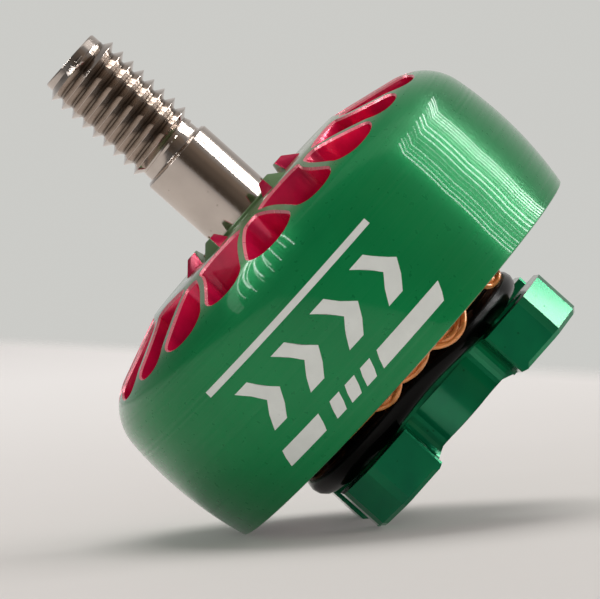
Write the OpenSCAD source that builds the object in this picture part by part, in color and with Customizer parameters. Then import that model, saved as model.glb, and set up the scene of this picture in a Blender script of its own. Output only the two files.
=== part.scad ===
// Brushless outrunner motor: a stator fixed on a four-legged base, and a bell that
// turns round it on two ball bearings. +Z runs from the mounting face to the shaft's tip.

/* [Base] */
// Width of the base across its flat sides
base_w = 16.7; // [15.5:0.1:20]
// Thickness of the legs
base_t = 2.95; // [2:0.05:4]
// Height of the feet below the middle of the base
foot_h = 0.5; // [0.2:0.05:0.8]
// Half width of the notch between two legs
notch_half_w = 3.4; // [2.4:0.05:3.6]
// Distance from the axis to the notch's floor
notch_floor = 5.5; // [5:0.05:6.4]
// Radius of the notch's inner corners
notch_fillet = 1; // [0.3:0.05:1.5]
// Diagonal cut of each outer corner
corner_cut = 1.9; // [1:0.05:2.4]
// Diameter of the bolt circle
bolt_circle_d = 16; // [15:0.1:17]
// Tapping diameter of the mounting holes
bolt_hole_d = 2.5; // [2:0.05:3]

/* [Shaft] */
// Diameter of the plain seat for the prop
seat_d = 4.75; // [4.4:0.05:5.4]
// Length of the plain seat above the collar
seat_len = 5.1; // [3:0.1:8]
// Outer diameter of the thread
thread_d = 4.9; // [4.5:0.05:5.4]
// Length of the thread
thread_len = 7.4; // [4:0.1:10]
// Pitch of the thread
thread_pitch = 0.8; // [0.6:0.05:1]
// Length of the relief groove below the thread
relief_len = 0.8; // [0.4:0.05:1.2]
// Diameter of the shaft where it is pressed into the bell
press_d = 4.3; // [3.8:0.05:4.5]
// Diameter of the journal in the bearings
journal_d = 4; // [3.2:0.05:4.2]

/* [Bearings] */
// Outer diameter of a bearing
bearing_d = 9; // [8.6:0.05:9.4]
// Width of a bearing
bearing_w = 4; // [3:0.05:4.4]
// Diameter of a ball
ball_d = 1.2; // [0.8:0.05:1.3]
// Number of balls in a bearing
ball_count = 8; // [6:1:9]
// Wall of the bearing tube
tube_wall = 1; // [0.7:0.05:1.2]

/* [Stator] */
// Diameter of the stator
stator_d = 22; // [21:0.1:24]
// Height of the stack of laminations
stack_h = 7; // [5:0.1:9]
// Radial width of the yoke ring
yoke_w = 1.6; // [1.2:0.05:1.8]
// Width of a tooth
tooth_w = 1.9; // [1.4:0.05:2.2]
// Radial thickness of a tooth's shoe
shoe_t = 0.8; // [0.5:0.05:1]
// Opening between two shoes
slot_gap = 1.3; // [0.8:0.05:2]
// Height of a coil beyond the stack, next to the yoke
end_turn_in = 0.95; // [0.6:0.05:1.2]
// Height of a coil beyond the stack, next to the shoes
end_turn_out = 1.3; // [1:0.05:1.6]
// Diameter of the black sleeves over the coil ends
sleeve_d = 1.8; // [1.2:0.05:2.2]

/* [Rotor] */
// Air gap between stator and magnets
air_gap = 0.2; // [0.15:0.01:0.3]
// Thickness of a magnet
magnet_t = 1.1; // [0.8:0.05:1.4]
// Height of a magnet
magnet_h = 7.6; // [6.5:0.1:8.4]
// Thickness of the steel flux ring
flux_ring_t = 0.7; // [0.5:0.05:1]
// Wall of the bell at its rim
rim_wall = 0.7; // [0.4:0.05:1]
// Radius that the bell's side gains from rim to widest point
barrel_bulge = 0.6; // [0.4:0.05:1]
// Height of the bell's widest point above its rim
barrel_z = 5.2; // [4.6:0.05:6]
// Height of the bell
bell_h = 12.3; // [11.8:0.1:12.8]
// Thickness of the bell's face next to the shaft
face_t = 2.35; // [2:0.05:2.8]
// Diameter of the flat middle of the bell's face
face_flat_d = 15.6; // [15:0.1:16.2]
// Slope of the face outside its flat middle
face_slope = 17; // [14:1:19]
// Radius of the shoulder between face and side
shoulder_r = 3.4; // [2.8:0.1:4]
// Width of the band between the vents and the bell's side
vent_band = 1.35; // [1.1:0.05:1.8]
// Width of a spoke's branch
branch_w = 0.7; // [0.5:0.05:0.9]
// Height of the teeth round the shaft
hub_tooth_h = 0.7; // [0.3:0.05:0.8]
// Turn of the bell about the axis
rotor_turn = -3.2; // [-18:0.1:18]

/* [Hidden] */
$fn = 96;

// Counts that belong together: three phases of four coils face seven pole pairs.
slot_count = 12;
magnet_count = 14;
spoke_count = 10;
hub_tooth_count = 5;
leg_count = 4;

// Clearances
running_gap = 0.02;
wire_gap = 0.05;
cut = 1;

// Retaining screw and washers
screw_d = 2.5;
screw_len = 4.5;
screw_head_d = 5.2;
screw_head_h = 1;
screw_head_z = 0.2;
socket_d = 1.73;
socket_h = 0.6;
washer_t = 0.3;
washer_d = 5.6;
shim_t = 0.3;

// Bearing, measured from the axis and from its lower face
race_r = (journal_d + bearing_d) / 4;
ring_half_gap = ball_d / 2 - 0.2;
cage_t = 0.35;
cage_h = 1.9;
shield_t = 0.12;
shield_inset = 0.12;
groove_r = ball_d / 2 + running_gap;

// Heights from the mounting face up
lower_bearing_z = screw_head_z + screw_head_h + washer_t;
sleeve_lift = 0.27;
stack_z = base_t + sleeve_d + sleeve_lift + wire_gap + end_turn_in;
tube_over = 1.85;
tube_top = stack_z + stack_h + tube_over;
upper_bearing_z = tube_top - bearing_w;
hub_z = tube_top + shim_t;
face_z = hub_z + face_t;
collar_h = 0.22;
collar_z = face_z + collar_h;
rim_z = face_z - bell_h;
seat_top = collar_z + seat_len;
thread_z = seat_top + relief_len;
tip_z = thread_z + thread_len;

// Base and bearing tube
base_half = base_w / 2;
corner_ease = 0.3;
edge_bevel = 0.12;
tube_r = bearing_d / 2 + tube_wall;
ledge_r = tube_r + 0.4;
boss_rise = 0.37;
boss_top_r = ledge_r + 0.1;
boss_foot_r = boss_top_r + 0.7;
tube_step = 0.6;
foot_margin = 0.1;

// Stator
yoke_r = tube_r + yoke_w;
core_r = stator_d / 2;
shoe_r = core_r - shoe_t;
slot_turn = 360 / slot_count;
coil_r0 = yoke_r + wire_gap;
sleeve_offset = 0.6;
sleeve_ring_r = ledge_r + 0.1 + sleeve_offset + sleeve_d / 2;
coil_step_r = sleeve_ring_r + sleeve_offset + sleeve_d / 2 + wire_gap;
coil_rounding = 0.9;
lead_dip = 15;
coil_t_in = coil_r0 * tan(slot_turn / 2) - tooth_w / 2 - 2 * wire_gap;
coil_t_out = coil_step_r * tan(slot_turn / 2) - tooth_w / 2 - 2 * wire_gap;
coil_r1 = sqrt(pow(shoe_r, 2) - pow(tooth_w / 2 + coil_t_out, 2)) - wire_gap;

// Rotor
magnet_r = core_r + air_gap;
flux_r = magnet_r + magnet_t;
seat_r = flux_r + flux_ring_t;
bell_r = seat_r + rim_wall + barrel_bulge;
magnet_z = stack_z + (stack_h - magnet_h) / 2;
flux_over = 0.3;
magnet_gap = 0.5;
hub_boss_h = 0.1;
hub_boss_r = 3;
collar_r = 3.3;
rim_bevel = 0.1;
face_flat_r = face_flat_d / 2;
vent_r = bell_r - vent_band;
spoke_turn = 360 / spoke_count;
fork_r = face_flat_r - 0.1;
fork_spread = 1;
fork_reach = 0.9;
fork_splay = 0.24;
fork_vent_r = fork_r + 0.75;
gap_vent_r = fork_r + 0.4;
vent_ease = 1.5;
hub_tooth_r0 = 3.55;
hub_tooth_r1 = 4.9;
hub_tooth_w = 1.5;
hub_tooth_top_w = 0.5;

// Thread
thread_depth_share = 0.56;
thread_depth = thread_depth_share * thread_pitch;
core_thread_r = thread_d / 2 - thread_depth;
tip_bevel = 0.55;
thread_steps = 24;
thread_sink = 0.03;

function polar(r, a) = [r * cos(a), r * sin(a)];
function mirrored(points) = [for (i = [len(points) - 1:-1:0]) [points[i][1], points[i][0]]];

// ---------- shared shapes ----------

module ring(r_out, r_in, h) {
    difference() {
        cylinder(r = r_out, h = h);
        translate([0, 0, -cut]) cylinder(r = r_in, h = h + 2 * cut);
    }
}

module rounded_rect(w, h, r) {
    square([w - 2 * r, h], center = true);
    square([w, h - 2 * r], center = true);
    for (x = [-1, 1], y = [-1, 1]) translate([x * (w / 2 - r), y * (h / 2 - r)]) circle(r = r);
}

module on_circle(count, r, start = 0) {
    for (i = [0:count - 1]) rotate(start + i * 360 / count) translate([r, 0, 0]) children();
}

// ---------- base ----------

// One quarter of the outline, from the middle of one notch to the corner's diagonal.
function leg_side() = [
    [0, notch_floor],
    [notch_half_w - notch_fillet, notch_floor],
    for (a = [-75:15:0]) [notch_half_w - notch_fillet, notch_floor + notch_fillet] + polar(notch_fillet, a),
    [notch_half_w, base_half - edge_bevel],
    [notch_half_w + edge_bevel, base_half],
    [base_half - corner_cut - corner_ease, base_half],
    [base_half - corner_cut - corner_ease, base_half] + polar(corner_ease / (cos(22.5) - sin(22.5)), -22.5)
];

module base_outline() {
    for (q = [0:3]) rotate(90 * q) polygon(concat([[0, 0]], leg_side(), mirrored(leg_side())));
}

module base() {
    color("seagreen") difference() {
        union() {
            linear_extrude(base_t) base_outline();
            translate([0, 0, base_t]) cylinder(r1 = boss_foot_r, r2 = boss_top_r, h = boss_rise);
            cylinder(r = ledge_r, h = stack_z);
            cylinder(r = tube_r, h = tube_top);
        }
        for (a = [0, 90]) rotate(a) translate([-base_w, foot_margin - notch_half_w, -cut])
            cube([2 * base_w, 2 * (notch_half_w - foot_margin), foot_h + cut]);
        for (a = [0:90:270]) rotate(a) translate([0, notch_floor, base_t])
            translate([-base_half, 0, 0]) cube([base_w, base_half, boss_rise + cut]);
        on_circle(leg_count, bolt_circle_d / 2, 45) translate([0, 0, -cut])
            cylinder(d = bolt_hole_d, h = base_t + 2 * cut);
        translate([0, 0, -cut]) cylinder(d = bearing_d, h = lower_bearing_z + bearing_w + cut);
        cylinder(r = bearing_d / 2 - tube_step, h = tube_top + cut);
        translate([0, 0, upper_bearing_z]) cylinder(d = bearing_d, h = bearing_w + cut);
    }
}

// ---------- stator ----------

module stator_core() {
    color([0.2, 0.2, 0.21]) translate([0, 0, stack_z]) linear_extrude(stack_h) difference() {
        union() {
            circle(r = yoke_r);
            for (i = [0:slot_count - 1]) rotate(i * slot_turn) {
                translate([0, -tooth_w / 2]) square([shoe_r + shoe_t / 2, tooth_w]);
                intersection() {
                    difference() {
                        circle(r = core_r);
                        circle(r = shoe_r);
                    }
                    polygon([
                        [shoe_r / 2, shoe_r / 2 * tan(slot_turn / 2) - slot_gap / 2],
                        [shoe_r / 2, slot_gap / 2 - shoe_r / 2 * tan(slot_turn / 2)],
                        [2 * core_r, slot_gap / 2 - 2 * core_r * tan(slot_turn / 2)],
                        [2 * core_r, 2 * core_r * tan(slot_turn / 2) - slot_gap / 2]
                    ]);
                }
            }
        }
        circle(r = tube_r);
    }
}

// A part of a coil between two radii, wound round a tooth that points along +X.
module coil_part(r0, r1, side, ends) {
    translate([r0, 0, stack_z + stack_h / 2]) rotate([90, 0, 90]) linear_extrude(r1 - r0) difference() {
        rounded_rect(tooth_w + 2 * side, stack_h + 2 * ends, coil_rounding * min(side, ends));
        square([tooth_w + 2 * wire_gap, stack_h + 2 * wire_gap], center = true);
    }
}

// Four coils: two neighbouring teeth and the two opposite ones.
module winding(first) {
    color([0.72, 0.38, 0.17])
        for (i = [0, 1, 6, 7]) rotate((first + i) * slot_turn) {
            coil_part(coil_r0, coil_step_r, coil_t_in, end_turn_in);
            coil_part(coil_step_r, coil_r1, coil_t_out, end_turn_out);
        }
}

module winding_a() { winding(0); }

module winding_b() { winding(2); }

module winding_c() { winding(4); }

// The slightly tilted circle on the base that the sleeves lie in.
module sleeve_place() {
    color([0.07, 0.07, 0.08])
        translate([-sleeve_offset, 0, base_t + (sleeve_d + sleeve_lift) / 2 + running_gap])
            rotate([0, -asin(sleeve_lift / (2 * sleeve_ring_r)), 0]) children();
}

// A sleeved lead end that lies round the tube.
module sleeve(from, sweep) {
    sleeve_place() rotate(from) rotate_extrude(angle = sweep) translate([sleeve_ring_r, 0]) circle(d = sleeve_d);
}

module sleeve_a() { sleeve(172, 240); }

module sleeve_b() { sleeve(112, 44); }

// The sleeved end that leaves straight over the rear notch.
module sleeve_c() {
    sleeve_place() translate([0, sleeve_ring_r - sleeve_d / 3, 0]) rotate([-90 - lead_dip, 0, 0])
        cylinder(d = sleeve_d, h = base_half - sleeve_ring_r + sleeve_d);
}

// ---------- bearings ----------

module bearing_ring(r0, r1, z) {
    translate([0, 0, z]) rotate_extrude() difference() {
        translate([r0, 0]) square([r1 - r0, bearing_w]);
        translate([race_r, bearing_w / 2]) circle(r = groove_r);
    }
}

module outer_ring(z) {
    color([0.75, 0.76, 0.78]) bearing_ring(race_r + ring_half_gap, bearing_d / 2, z);
}

module inner_ring(z) {
    color([0.75, 0.76, 0.78]) bearing_ring(journal_d / 2, race_r - ring_half_gap, z);
}

module balls(z) {
    color([0.85, 0.86, 0.88]) translate([0, 0, z + bearing_w / 2])
        on_circle(ball_count, race_r) sphere(d = ball_d);
}

module cage(z) {
    color([0.62, 0.5, 0.28]) translate([0, 0, z + (bearing_w - cage_h) / 2]) difference() {
        ring(race_r + cage_t / 2, race_r - cage_t / 2, cage_h);
        translate([0, 0, cage_h / 2]) on_circle(ball_count, race_r) rotate([0, 90, 0])
            cylinder(r = groove_r, h = ball_d, center = true);
    }
}

module shields(z) {
    color([0.6, 0.61, 0.63])
        for (h = [shield_inset, bearing_w - shield_inset - shield_t]) translate([0, 0, z + h])
            ring(race_r + ring_half_gap, race_r - ring_half_gap + 2 * wire_gap, shield_t);
}

module upper_outer_ring() { outer_ring(upper_bearing_z); }

module upper_inner_ring() { inner_ring(upper_bearing_z); }

module upper_balls() { balls(upper_bearing_z); }

module upper_cage() { cage(upper_bearing_z); }

module upper_shields() { shields(upper_bearing_z); }

module lower_outer_ring() { outer_ring(lower_bearing_z); }

module lower_inner_ring() { inner_ring(lower_bearing_z); }

module lower_balls() { balls(lower_bearing_z); }

module lower_cage() { cage(lower_bearing_z); }

module lower_shields() { shields(lower_bearing_z); }

// ---------- bell ----------

// The side is an arc about barrel_c, the shoulder an arc that touches side and face.
barrel_r = (pow(barrel_bulge, 2) + pow(barrel_z, 2)) / (2 * barrel_bulge);
barrel_c = [bell_r - barrel_r, rim_z + barrel_z];
shoulder_m = tan(face_slope);
shoulder_d = face_z + face_flat_r * shoulder_m - shoulder_r / cos(face_slope) - barrel_c[1];
shoulder_b = barrel_c[0] + shoulder_d * shoulder_m;
shoulder_q = pow(barrel_c[0], 2) + pow(shoulder_d, 2) - pow(barrel_r - shoulder_r, 2);
shoulder_a = 1 + pow(shoulder_m, 2);
shoulder_x = (shoulder_b + sqrt(pow(shoulder_b, 2) - shoulder_a * shoulder_q)) / shoulder_a;
shoulder_c = [shoulder_x, barrel_c[1] + shoulder_d - shoulder_x * shoulder_m];
shoulder_turn = atan2(shoulder_c[1] - barrel_c[1], shoulder_c[0] - barrel_c[0]);
face_touch = shoulder_c + polar(shoulder_r, 90 - face_slope);
side_touch = shoulder_c + polar(shoulder_r, shoulder_turn);

module bell_profile() {
    difference() {
        intersection() {
            translate(barrel_c) circle(r = barrel_r);
            polygon([
                [0, rim_z],
                [bell_r - barrel_bulge - rim_bevel, rim_z],
                [bell_r - barrel_bulge + rim_bevel, rim_z + 2 * rim_bevel],
                [2 * bell_r, rim_z + 2 * rim_bevel],
                [2 * bell_r, face_z - (2 * bell_r - face_flat_r) * shoulder_m],
                [face_flat_r, face_z],
                [0, face_z]
            ]);
        }
        polygon([shoulder_c, face_touch, face_touch + [shoulder_r, 0], side_touch + [shoulder_r, 0], side_touch]);
    }
    translate(shoulder_c) circle(r = shoulder_r);
}

function branch_side(r) =
    fork_spread * (1 - exp((fork_r - r) / fork_reach)) + fork_splay * (r - fork_r);

function branch_turn(r, edge) = asin((branch_side(r) + edge * branch_w / 2) / r);

// The opening inside a fork, about +X.
module fork_vent() {
    steps = 9;
    radii = [for (i = [0:steps]) fork_vent_r + (vent_r - fork_vent_r) * pow(i / steps, vent_ease)];
    rim_turn = branch_turn(vent_r, -1);
    polygon(concat(
        [for (r = radii) polar(r, -branch_turn(r, -1))],
        [for (i = [1:4]) polar(vent_r, -rim_turn + rim_turn * 2 * i / 5)],
        [for (i = [steps:-1:0]) polar(radii[i], branch_turn(radii[i], -1))]
    ));
}

// The opening between two spokes, about +X.
module gap_vent() {
    steps = 9;
    half = spoke_turn / 2;
    radii = [for (i = [0:steps]) gap_vent_r + (vent_r - gap_vent_r) * pow(i / steps, vent_ease)];
    rim_turn = half - branch_turn(vent_r, 1);
    polygon(concat(
        [for (r = radii) polar(r, branch_turn(r, 1) - half)],
        [for (i = [1:4]) polar(vent_r, -rim_turn + rim_turn * 2 * i / 5)],
        [for (i = [steps:-1:0]) polar(radii[i], half - branch_turn(radii[i], 1))]
    ));
}

module hub_teeth() {
    intersection() {
        rotate_extrude() polygon([
            [hub_tooth_r0, face_z - hub_tooth_h],
            [hub_tooth_r1, face_z - hub_tooth_h],
            [hub_tooth_r1, face_z],
            [hub_tooth_r1 - hub_tooth_h, face_z + hub_tooth_h],
            [hub_tooth_r0, face_z + hub_tooth_h]
        ]);
        for (i = [0:hub_tooth_count - 1]) rotate(-90 + spoke_turn + i * 360 / hub_tooth_count)
            translate([0, 0, face_z]) rotate([90, 0, 90]) linear_extrude(2 * hub_tooth_r1) polygon([
                [-hub_tooth_w / 2, -hub_tooth_h],
                [hub_tooth_w / 2, -hub_tooth_h],
                [hub_tooth_w / 2, 0],
                [hub_tooth_top_w / 2, hub_tooth_h],
                [-hub_tooth_top_w / 2, hub_tooth_h],
                [-hub_tooth_w / 2, 0]
            ]);
    }
}

module bell() {
    color([0.08, 0.5, 0.28]) rotate(rotor_turn) {
        difference() {
            rotate_extrude() intersection() {
                bell_profile();
                translate([0, rim_z]) square([2 * bell_r, bell_h]);
            }
            translate([0, 0, rim_z - cut]) cylinder(r = seat_r, h = magnet_z + magnet_h + flux_over - rim_z + cut);
            translate([0, 0, rim_z - cut]) cylinder(r = flux_r, h = hub_z + hub_boss_h - rim_z + cut);
            cylinder(d = press_d, h = 2 * face_z);
            translate([0, 0, hub_z]) linear_extrude(2 * face_t)
                for (i = [0:spoke_count - 1]) {
                    rotate(-90 + i * spoke_turn) fork_vent();
                    rotate(-90 + (i + 0.5) * spoke_turn) gap_vent();
                }
        }
        translate([0, 0, hub_z]) ring(hub_boss_r, press_d / 2, hub_boss_h);
        translate([0, 0, face_z]) ring(collar_r, press_d / 2, collar_h);
        hub_teeth();
    }
}

module flux_ring() {
    color([0.35, 0.36, 0.38]) translate([0, 0, magnet_z - flux_over])
        ring(seat_r, flux_r, magnet_h + 2 * flux_over);
}

module magnets() {
    half = 180 / magnet_count - asin(magnet_gap / 2 / magnet_r);
    color([0.6, 0.6, 0.63]) translate([0, 0, magnet_z])
        for (i = [0:magnet_count - 1]) rotate(rotor_turn + i * 360 / magnet_count) linear_extrude(magnet_h)
            intersection() {
                difference() {
                    circle(r = flux_r);
                    circle(r = magnet_r);
                }
                polygon([[0, 0], polar(2 * flux_r, -half), polar(2 * flux_r, half)]);
            }
}

// ---------- shaft ----------

function thread_limit(z) = min(thread_d / 2, thread_d / 2 - tip_bevel + tip_z - z);

// The four corners of the ridge at step k: two sunk in the core, two on the crest.
function ridge_corners(k, last) =
    let (
        a = 360 * k / thread_steps,
        z = thread_z + thread_pitch / 2 + k * thread_pitch / thread_steps,
        fade = min(1, 4 * k / thread_steps, 4 * (last - k) / thread_steps),
        root = core_thread_r - thread_sink,
        crest = max(root + 2 * thread_sink, min(thread_limit(z), root + (thread_depth + thread_sink) * fade)),
        half_crest = thread_pitch / 16,
        half_root = half_crest + (thread_depth + thread_sink) * tan(30)
    )
    [
        [root * cos(a), root * sin(a), z - half_root],
        [crest * cos(a), crest * sin(a), z - half_crest],
        [crest * cos(a), crest * sin(a), z + half_crest],
        [root * cos(a), root * sin(a), z + half_root]
    ];

module thread_ridge() {
    last = floor((thread_len / thread_pitch - 1) * thread_steps);
    points = [for (k = [0:last]) each ridge_corners(k, last)];
    sides = [for (k = [0:last - 1], c = [0:3])
        let (p = 4 * k + c, q = 4 * k + (c + 1) % 4) each [[p, q, q + 4], [p, q + 4, p + 4]]];
    polyhedron(points = points, faces = concat([[3, 2, 1, 0]], sides,
        [[4 * last, 4 * last + 1, 4 * last + 2, 4 * last + 3]]));
}

module prop_shaft() {
    bottom = lower_bearing_z + wire_gap;
    color([0.78, 0.76, 0.74]) difference() {
        union() {
            translate([0, 0, bottom]) cylinder(d = journal_d, h = hub_z - bottom);
            translate([0, 0, hub_z]) cylinder(d = press_d, h = face_t + collar_h);
            translate([0, 0, collar_z]) cylinder(d = seat_d, h = seat_len);
            translate([0, 0, seat_top - cut]) cylinder(r = core_thread_r, h = tip_z - seat_top + cut);
            thread_ridge();
        }
        translate([0, 0, bottom - cut]) cylinder(d = screw_d, h = screw_len + cut);
    }
}

module bell_shim() {
    color([0.8, 0.8, 0.8]) translate([0, 0, tube_top]) ring(race_r - ring_half_gap, journal_d / 2, shim_t);
}

module retaining_washer() {
    color([0.8, 0.8, 0.8]) translate([0, 0, lower_bearing_z - washer_t]) ring(washer_d / 2, screw_d / 2, washer_t);
}

module retaining_screw() {
    color([0.25, 0.25, 0.27]) difference() {
        union() {
            translate([0, 0, screw_head_z]) cylinder(d = screw_head_d, h = screw_head_h);
            translate([0, 0, screw_head_z]) cylinder(d = screw_d, h = screw_head_h + screw_len);
        }
        translate([0, 0, screw_head_z - cut]) cylinder(d = socket_d, h = socket_h + cut, $fn = 6);
    }
}

base();
stator_core();
winding_a();
winding_b();
winding_c();
sleeve_a();
sleeve_b();
sleeve_c();
upper_outer_ring();
upper_inner_ring();
upper_balls();
upper_cage();
upper_shields();
lower_outer_ring();
lower_inner_ring();
lower_balls();
lower_cage();
lower_shields();
bell();
flux_ring();
magnets();
prop_shaft();
bell_shim();
retaining_washer();
retaining_screw();
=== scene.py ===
"""Looks, light and camera of a brushless outrunner motor, on its packed CAD frame."""
import bpy
import math
from mathutils import Matrix, Vector
from mathutils.bvhtree import BVHTree


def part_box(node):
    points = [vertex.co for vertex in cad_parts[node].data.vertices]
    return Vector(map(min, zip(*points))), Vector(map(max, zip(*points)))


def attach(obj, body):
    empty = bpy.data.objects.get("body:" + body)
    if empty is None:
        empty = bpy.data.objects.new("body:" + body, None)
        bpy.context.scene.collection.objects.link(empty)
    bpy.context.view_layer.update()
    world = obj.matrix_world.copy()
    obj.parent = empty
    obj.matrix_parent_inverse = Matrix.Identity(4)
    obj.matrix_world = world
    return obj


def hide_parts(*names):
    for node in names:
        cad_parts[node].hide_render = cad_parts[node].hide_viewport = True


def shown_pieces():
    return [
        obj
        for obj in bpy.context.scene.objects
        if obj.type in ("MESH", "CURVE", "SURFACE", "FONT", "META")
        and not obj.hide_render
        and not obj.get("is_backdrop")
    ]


bl_info = {
    "name": "Outrunner motor",
    "version": (1, 0, 0),
    "blender": (4, 5, 0),
    "location": "3D View > Sidebar > Motor",
    "description": "Builds the motor's visible pieces, finishes, studio and camera on its CAD frame",
    "category": "Object",
}

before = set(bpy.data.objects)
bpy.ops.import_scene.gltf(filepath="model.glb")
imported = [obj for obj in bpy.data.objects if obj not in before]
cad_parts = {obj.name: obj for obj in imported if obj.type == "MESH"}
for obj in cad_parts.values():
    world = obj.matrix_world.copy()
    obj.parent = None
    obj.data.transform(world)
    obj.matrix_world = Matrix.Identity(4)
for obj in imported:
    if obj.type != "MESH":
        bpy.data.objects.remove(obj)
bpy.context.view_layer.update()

MM = 0.001
BELL_LOW, BELL_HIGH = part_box("bell")
SHAFT_LOW, SHAFT_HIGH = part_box("prop_shaft")
FLUX_LOW, FLUX_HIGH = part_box("flux_ring")
CORE_LOW, CORE_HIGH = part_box("stator_core")
IMAGE_W, IMAGE_H = 600, 599
IMAGE_L = max(IMAGE_W, IMAGE_H)

# Image points of the photograph's frame. The first four give the outline's extremes.
IMAGE_POINTS = {
    "outline_left": (46.5, None),
    "outline_top": (None, 35.0),
    "outline_right": (572.5, None),
    "outline_bottom": (None, 533.0),
    "shaft_tip_left": (47.1, 84.7),
    "shaft_tip_right": (91.4, 35.3),
    "seat_top_left": (148.1, 185.0),
    "seat_top_right": (203.3, 124.0),
    "rim_right": (556.0, 182.0),
    "front_leg_right_top": (539.0, 274.0),
    "front_leg_right_foot": (558.0, 325.0),
    "front_leg_left_foot": (388.0, 525.0),
    "copper_left": (392.5, 400.6),
    "copper_middle": (417.1, 369.2),
    "copper_bulge": (457.6, 336.9),
    "copper_right": (495.1, 283.3),
}


def length(name, text, mm):
    """A size that the panel shows, with its default in millimetres."""
    return bpy.props.FloatProperty(
        name=name, description=text, default=mm * MM, precision=5, subtype="DISTANCE", unit="LENGTH")


def turn(name, text, degrees):
    return bpy.props.FloatProperty(
        name=name, description=text, default=math.radians(degrees), subtype="ANGLE", unit="ROTATION")


def colour(name, text, rgb):
    return bpy.props.FloatVectorProperty(
        name=name, description=text, default=rgb, size=3, min=0, max=1, subtype="COLOR")


class MOTOR_PG_bell(bpy.types.PropertyGroup):
    """Sizes of the bell, which follow its solid."""
    widest: length("Widest radius", "Radius of the bell at its widest point", BELL_HIGH[0] / MM)
    bulge: length("Bulge", "How much wider the side is than at the rim", 0.6)
    widest_up: length("Widest height", "Height of the widest point above the rim", 5.2)
    shoulder: length("Shoulder radius", "Radius between the side and the face", 3.4)
    flat: length("Flat radius", "Radius of the flat middle of the face", 7.8)
    slope: turn("Face slope", "Slope of the face outside its flat middle", 17)
    branch: length("Branch width", "Width of a spoke's branch", 0.7)
    vent_end: length("Vent end", "Radius at which the vents end", 12.95)
    edge: length("Vent edge", "Width of the bevel along the vents", 0.13)
    turned: turn("Turn", "Turn of the bell about the axis", -3.2)


class MOTOR_PG_shaft(bpy.types.PropertyGroup):
    """Sizes of the prop shaft."""
    seat: length("Seat radius", "Radius of the plain seat", 2.375)
    crest: length("Crest radius", "Radius of the thread's crests", 2.44)
    root: length("Root radius", "Radius between the thread's ridges", 1.95)
    pitch: length("Pitch", "Height of one turn of the thread", 0.8)
    first_crest: length("Crest height", "Height of a crest on the +X side", 29.837)


class MOTOR_PG_stator(bpy.types.PropertyGroup):
    """Sizes of the windings and sleeves."""
    wire: length("Wire", "Diameter of the winding wire", 0.37)
    sleeve: length("Sleeve radius", "Radius of the black sleeve at the front", 0.8)


class MOTOR_PG_base(bpy.types.PropertyGroup):
    """Sizes of the base's feet."""
    notch: length("Notch", "Half width of the notch between two legs", 3.4)
    floor: length("Notch floor", "Distance from the axis to the notch's floor", 5.5)
    fillet: length("Fillet", "Radius between the notch's floor and its side", 1)
    foot: length("Foot", "Height of the feet", 0.5)
    slope_start: length("Slope start", "Where the slope of a foot meets the middle", 2.5)
    slope_end: length("Slope end", "Where the slope of a foot meets its sole", 3.8)
    lower_edge: length("Lower edge", "Width of the bevel round the soles", 0.25)


class MOTOR_PG_finish(bpy.types.PropertyGroup):
    """Colours of the finishes."""
    green: colour("Green", "Green anodised aluminium", (0.0012, 0.23, 0.064))
    red: colour("Red", "Red anodised cut faces", (1.0, 0.01, 0.115))
    etched: colour("Etched", "Etched marks", (0.8, 0.83, 0.79))
    copper: colour("Copper", "Enamelled copper wire", (1.0, 0.36, 0.09))
    steel: colour("Steel", "Ground shaft steel", (0.67, 0.595, 0.54))
    floor: colour("Floor", "Floor of the studio", (0.55, 0.53, 0.515))
    wall: colour("Wall", "Wall of the studio", (0.6, 0.6, 0.575))


class MOTOR_PG_camera(bpy.types.PropertyGroup):
    """Place of the camera."""
    azimuth: turn("Azimuth", "Direction of the camera round the axis", -93.3)
    elevation: turn("Elevation", "Height of the camera above the horizon of the axis", 2.64)
    roll: turn("Roll", "Turn of the camera about its own line of sight", 48.2)
    distance: length("Distance", "Distance from the camera to its aim", 330)
    aim_across: length("Aim across", "How far the aim lies to the side of the axis", -1.43)
    aim_up: length("Aim height", "Height of the aim", 11.88)
    scale: bpy.props.FloatProperty(
        name="Scale", description="Pixels per millimetre at the aim", default=17.3)


# ---------- shared shaping ----------

def deselect():
    if bpy.context.mode != "OBJECT":
        bpy.ops.object.mode_set(mode="OBJECT")
    bpy.ops.object.select_all(action="DESELECT")


def only(piece):
    deselect()
    piece.select_set(True)
    bpy.context.view_layer.objects.active = piece


def edit(piece, kind, wanted):
    """Edit mode with only the wanted vertices, edges or faces picked."""
    only(piece)
    bpy.ops.object.mode_set(mode="EDIT")
    bpy.ops.mesh.select_mode(type=kind)
    bpy.ops.mesh.select_all(action="DESELECT")
    bpy.ops.object.mode_set(mode="OBJECT")
    parts = {"VERT": piece.data.vertices, "EDGE": piece.data.edges, "FACE": piece.data.polygons}[kind]
    for part in parts:
        part.select = wanted(part)
    bpy.ops.object.mode_set(mode="EDIT")


def edit_all(piece):
    edit(piece, "VERT", lambda v: True)
    bpy.ops.mesh.select_all(action="SELECT")


def tidy_mesh(piece, gap=2e-7):
    """Merges doubles and turns the faces outwards."""
    edit_all(piece)
    bpy.ops.mesh.remove_doubles(threshold=gap)
    bpy.ops.mesh.normals_make_consistent(inside=False)
    deselect()


def new_ring(name, points, filled=False):
    """A circle primitive whose corners are moved to the given places."""
    deselect()
    bpy.ops.mesh.primitive_circle_add(
        vertices=len(points), radius=1, fill_type="NGON" if filled else "NOTHING", location=(0, 0, 0))
    piece = bpy.context.active_object
    piece.name = piece.data.name = name
    for corner, place in zip(piece.data.vertices, points):
        corner.co = place
    return piece


def new_line(name, outline):
    """An open line of (radius, height), in the plane of the axis."""
    piece = new_ring(name, [(r, 0, z) for r, z in outline])
    edit(piece, "EDGE", lambda e: set(e.vertices) == {0, len(outline) - 1})
    bpy.ops.mesh.delete(type="EDGE_FACE")
    deselect()
    return piece


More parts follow.
